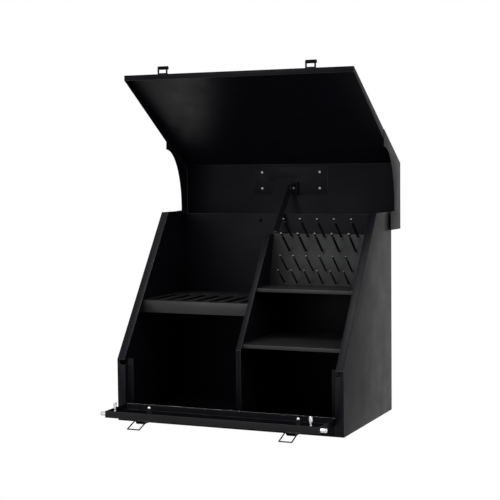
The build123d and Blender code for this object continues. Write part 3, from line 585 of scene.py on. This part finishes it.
# %% Round rivet and screw heads
JOINTS = {joint["name"]: joint for joint in frame["record"]["behaviour"]["joints"]}
HINGE_Y, HINGE_Z = JOINTS["lid_hinge"]["pos_m"][1:]
BRACKET_FACE_Z = 0.5004
BRACKET_RIVET_X = 0.0795
BRACKET_RIVET_ROWS = (0.0445, 0.086)
STUD_PLACE = (0.01221, 0.0854, 0.4905)
SCREW_PLACE = (-0.061, 0.1778, 0.466)
LEAF_RIVETS = 9
LEAF_RIVET_PITCH = 0.063
LEAF_RIVET_START = (-0.252, 0.1802, 0.434)


def opened_place(x, y, z):
    """Where a point of the shut lid lies once the lid stands open."""
    return Vector((x, HINGE_Y + (z - HINGE_Z), HINGE_Z - (y - HINGE_Y)))


rivet_work = bmesh.new()
for x in (-BRACKET_RIVET_X, BRACKET_RIVET_X):
    for y in BRACKET_RIVET_ROWS:
        lathe(rivet_work, dome(0.0036, 0.0009), opened_place(x, y, BRACKET_FACE_Z), (0, -1, 0), 28)
finish_mesh("bracket_rivets_domed", rivet_work, [rivet_metal], "lid", "bright_steel", ("bracket_rivets",), 50)

stud_work = bmesh.new()
lathe(stud_work, dome(0.0036, 0.0015, 0.0006), opened_place(*STUD_PLACE), (0, -1, 0), 28)
finish_mesh("strut_mount_stud_domed", stud_work, [peg_metal], "lid", "bright_steel",
            ("strut_mount_stud",), 50)

screw_work = bmesh.new()
lathe(screw_work, dome(0.0045, 0.0022, 0.0004), SCREW_PLACE, (0, -1, 0), 24)
finish_mesh("back_wall_screw", screw_work, [block_paint], "cabinet", "dark_hardware")

leaf_work = bmesh.new()
for index in range(LEAF_RIVETS):
    leaf_x = LEAF_RIVET_START[0] + LEAF_RIVET_PITCH * index
    lathe(leaf_work, dome(0.0028, 0.0011), (leaf_x, *LEAF_RIVET_START[1:]), (0, 1, 0), 20)
finish_mesh("hinge_leaf_rivets", leaf_work, [fitting_paint], "cabinet", "dark_hardware")
print("Rivet and screw heads made")

# %% The gas strut's tube, with a crimp and a wiper ring
STRUT_HEAD = Vector((0, 0.226, 0.547))
STRUT_LEAN = math.radians(47.73)
STRUT_UP = Vector((0, math.cos(STRUT_LEAN), math.sin(STRUT_LEAN)))
TUBE_REACH = 0.155
tube_foot = STRUT_HEAD - STRUT_UP * TUBE_REACH
tube_work = bmesh.new()
lathe(tube_work,
      [(0, 0.00358), (0, 0.0044), (0.0004, 0.0052), (0.0012, 0.00575), (0.0026, 0.00595),
       (0.0042, 0.0057),
                  (0.005, 0.0055), (0.0058, 0.0057), (0.0072, 0.00615), (0.009, 0.00625), (0.1386, 0.00625),
                  (0.1402, 0.0059), (0.141, 0.0052), (0.141, 0)], tube_foot, STRUT_UP, 36)
lathe(tube_work, [(0.0002, 0.00358), (-0.0001, 0.0042), (0.0002, 0.0044)], tube_foot, STRUT_UP, 36, 1)
finish_mesh("strut_tube_crimped", tube_work, [strut_paint, worn_metal_and_highlight], "strut_cylinder", "strut_black",
            ("strut_tube",), 30)
print("Gas strut's tube turned")

# %% Paint or plate the pieces whose shape is kept
KEPT_FINISH = {
    "door_hinge_rail_leaf": hinge_metal, "door_hinge_tray_leaf": hinge_metal, "door_hinge_pin": bright_metal,
    "lid_hinge_back_leaf": hinge_paint, "lid_hinge_top_leaf": hinge_paint, "lid_hinge_pin": bright_metal,
    "carry_handle": grip_paint, "keeper_rivets": worn_metal_and_highlight, "latch_bail_left": wire_metal,
    "latch_bail_right": wire_metal, "latch_spacers": fitting_paint, "strut_rod": rod_metal,
}
for kept_name, finish in KEPT_FINISH.items():
    kept = nodes[kept_name]
    kept.data.materials.clear()
    kept.data.materials.append(finish)
print("Pieces kept as they are:", len(KEPT_FINISH))

# %% [markdown]
# ## The studio
# The box stands on a flat floor. The floor is plain grey to indirect light, but pure
# white to the camera, so no shadow shows on it. The surroundings are white to the
# camera and in reflections too. The lamps are large areas, so their reflections in the
# black paint are soft. The main one stands on the right, because the right wall is the
# brightest face of the box.

# %% White floor and surroundings
def white_to_camera(tree, plain_shader, white_shader):
    """Mix that shows white to the camera, in gloss and through glass, and plain elsewhere."""
    rays = tree.nodes.new("ShaderNodeLightPath")
    first = tree.nodes.new("ShaderNodeMath")
    first.operation = "MAXIMUM"
    tree.links.new(rays.outputs["Is Camera Ray"], first.inputs[0])
    tree.links.new(rays.outputs["Is Glossy Ray"], first.inputs[1])
    second = tree.nodes.new("ShaderNodeMath")
    second.operation = "MAXIMUM"
    tree.links.new(first.outputs[0], second.inputs[0])
    tree.links.new(rays.outputs["Is Transmission Ray"], second.inputs[1])
    mix = tree.nodes.new("ShaderNodeMixShader")
    tree.links.new(second.outputs[0], mix.inputs[0])
    tree.links.new(plain_shader, mix.inputs[1])
    tree.links.new(white_shader, mix.inputs[2])
    return mix.outputs[0]


FLOOR_HALF = 14
floor_mesh = bpy.data.meshes.new("studio_floor")
floor_work = bmesh.new()
bmesh.ops.create_grid(floor_work, x_segments=1, y_segments=1, size=FLOOR_HALF)
floor_work.to_mesh(floor_mesh)
floor_work.free()
floor = bpy.data.objects.new("studio_floor", floor_mesh)
bpy.context.scene.collection.objects.link(floor)

floor_material = bpy.data.materials.new("studio_white")
floor_material.use_nodes = True
floor_tree = floor_material.node_tree
floor_tree.nodes.clear()
floor_plain = floor_tree.nodes.new("ShaderNodeBsdfDiffuse")
floor_plain.inputs["Color"].default_value = (0.78, 0.78, 0.78, 1)
floor_glow = floor_tree.nodes.new("ShaderNodeEmission")
floor_glow.inputs["Color"].default_value = (1, 1, 1, 1)
floor_end = floor_tree.nodes.new("ShaderNodeOutputMaterial")
floor_shown = white_to_camera(floor_tree, floor_plain.outputs[0], floor_glow.outputs[0])
floor_tree.links.new(floor_shown, floor_end.inputs[0])
floor_mesh.materials.append(floor_material)

world = bpy.data.worlds.new("studio_world")
bpy.context.scene.world = world
world.use_nodes = True
world_tree = world.node_tree
world_tree.nodes.clear()
world_plain = world_tree.nodes.new("ShaderNodeBackground")
world_plain.inputs["Color"].default_value = (1, 1, 1, 1)
world_plain.inputs["Strength"].default_value = 0.55
world_white = world_tree.nodes.new("ShaderNodeBackground")
world_white.inputs["Color"].default_value = (1, 1, 1, 1)
world_white.inputs["Strength"].default_value = 1.0
world_end = world_tree.nodes.new("ShaderNodeOutputWorld")
world_shown = white_to_camera(world_tree, world_plain.outputs[0], world_white.outputs[0])
world_tree.links.new(world_shown, world_end.inputs[0])
print("Studio floor and surroundings are white to the camera")

# %% Soft lamps
def area_lamp(name, place, target, width, height, power):
    """Rectangular lamp that faces a target point."""
    data = bpy.data.lights.new(name, "AREA")
    data.shape = "RECTANGLE"
    data.size = width
    data.size_y = height
    data.energy = power
    lamp = bpy.data.objects.new(name, data)
    bpy.context.scene.collection.objects.link(lamp)
    lamp.location = place
    lamp.rotation_euler = (Vector(target) - Vector(place)).to_track_quat("-Z", "Y").to_euler()


area_lamp("key_lamp", (2.6, -0.9, 1.5), (0.2, 0, 0.3), width=1.6, height=1.6, power=45)
area_lamp("front_lamp", (-0.9, -3.0, 1.4), (0, 0, 0.4), width=1.8, height=1.4, power=28)
area_lamp("top_lamp", (-0.45, -1.18, 2.8), (-0.1, -0.2, 0.4), width=1.2, height=1.0, power=38)

bpy.context.scene.view_settings.view_transform = "Standard"
print("Lamps:", len(bpy.data.lights))
